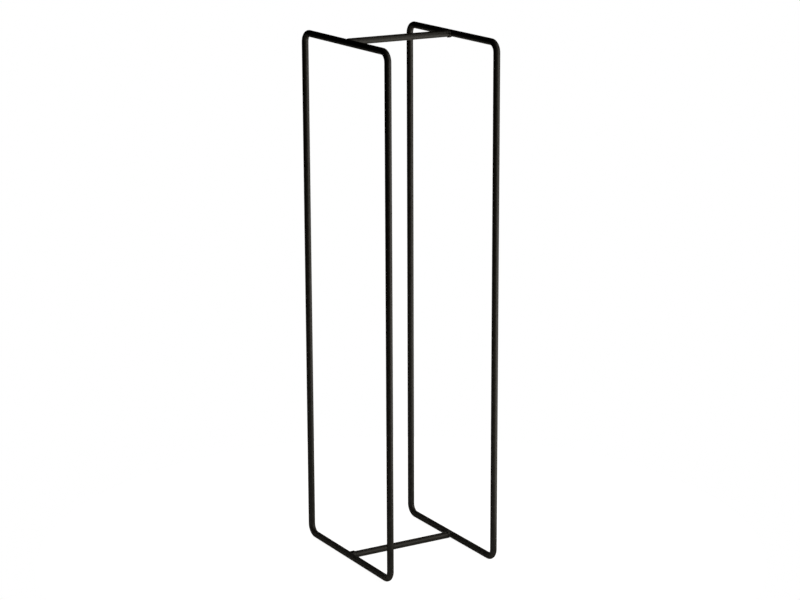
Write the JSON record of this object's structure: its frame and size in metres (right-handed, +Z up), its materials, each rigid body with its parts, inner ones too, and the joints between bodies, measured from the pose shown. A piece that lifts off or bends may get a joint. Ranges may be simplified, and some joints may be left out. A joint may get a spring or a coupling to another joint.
{
  "type": "firewood log rack",
  "caption": "Tall free-standing indoor log rack: identical rectangular hoops of bent round bar, joined by short crossbars at the top and the floor. Black powder coat.",
  "frame": {"origin": "on the floor, midway between the hoops and at the middle of their width", "axes": "+Z up; +X from one hoop to the other, the way the logs lie; +Y across a hoop's width"},
  "size_m": [0.24, 0.32, 1],
  "materials": {
    "powder_coat": "satin black powder coat on steel, fine texture",
    "black_oxide": "black oxide alloy steel, hexagon socket"
  },
  "bodies": {
    "root": {"side_hoop_left": "powder_coat", "side_hoop_right": "powder_coat", "crossbar_bottom": "powder_coat", "crossbar_top": "powder_coat", "spigot_bottom_left": "powder_coat", "spigot_bottom_right": "powder_coat", "spigot_top_left": "powder_coat", "spigot_top_right": "powder_coat", "grub_screw_bottom_left": "black_oxide", "grub_screw_bottom_right": "black_oxide", "grub_screw_top_left": "black_oxide", "grub_screw_top_right": "black_oxide"}
  },
  "joints": []
}
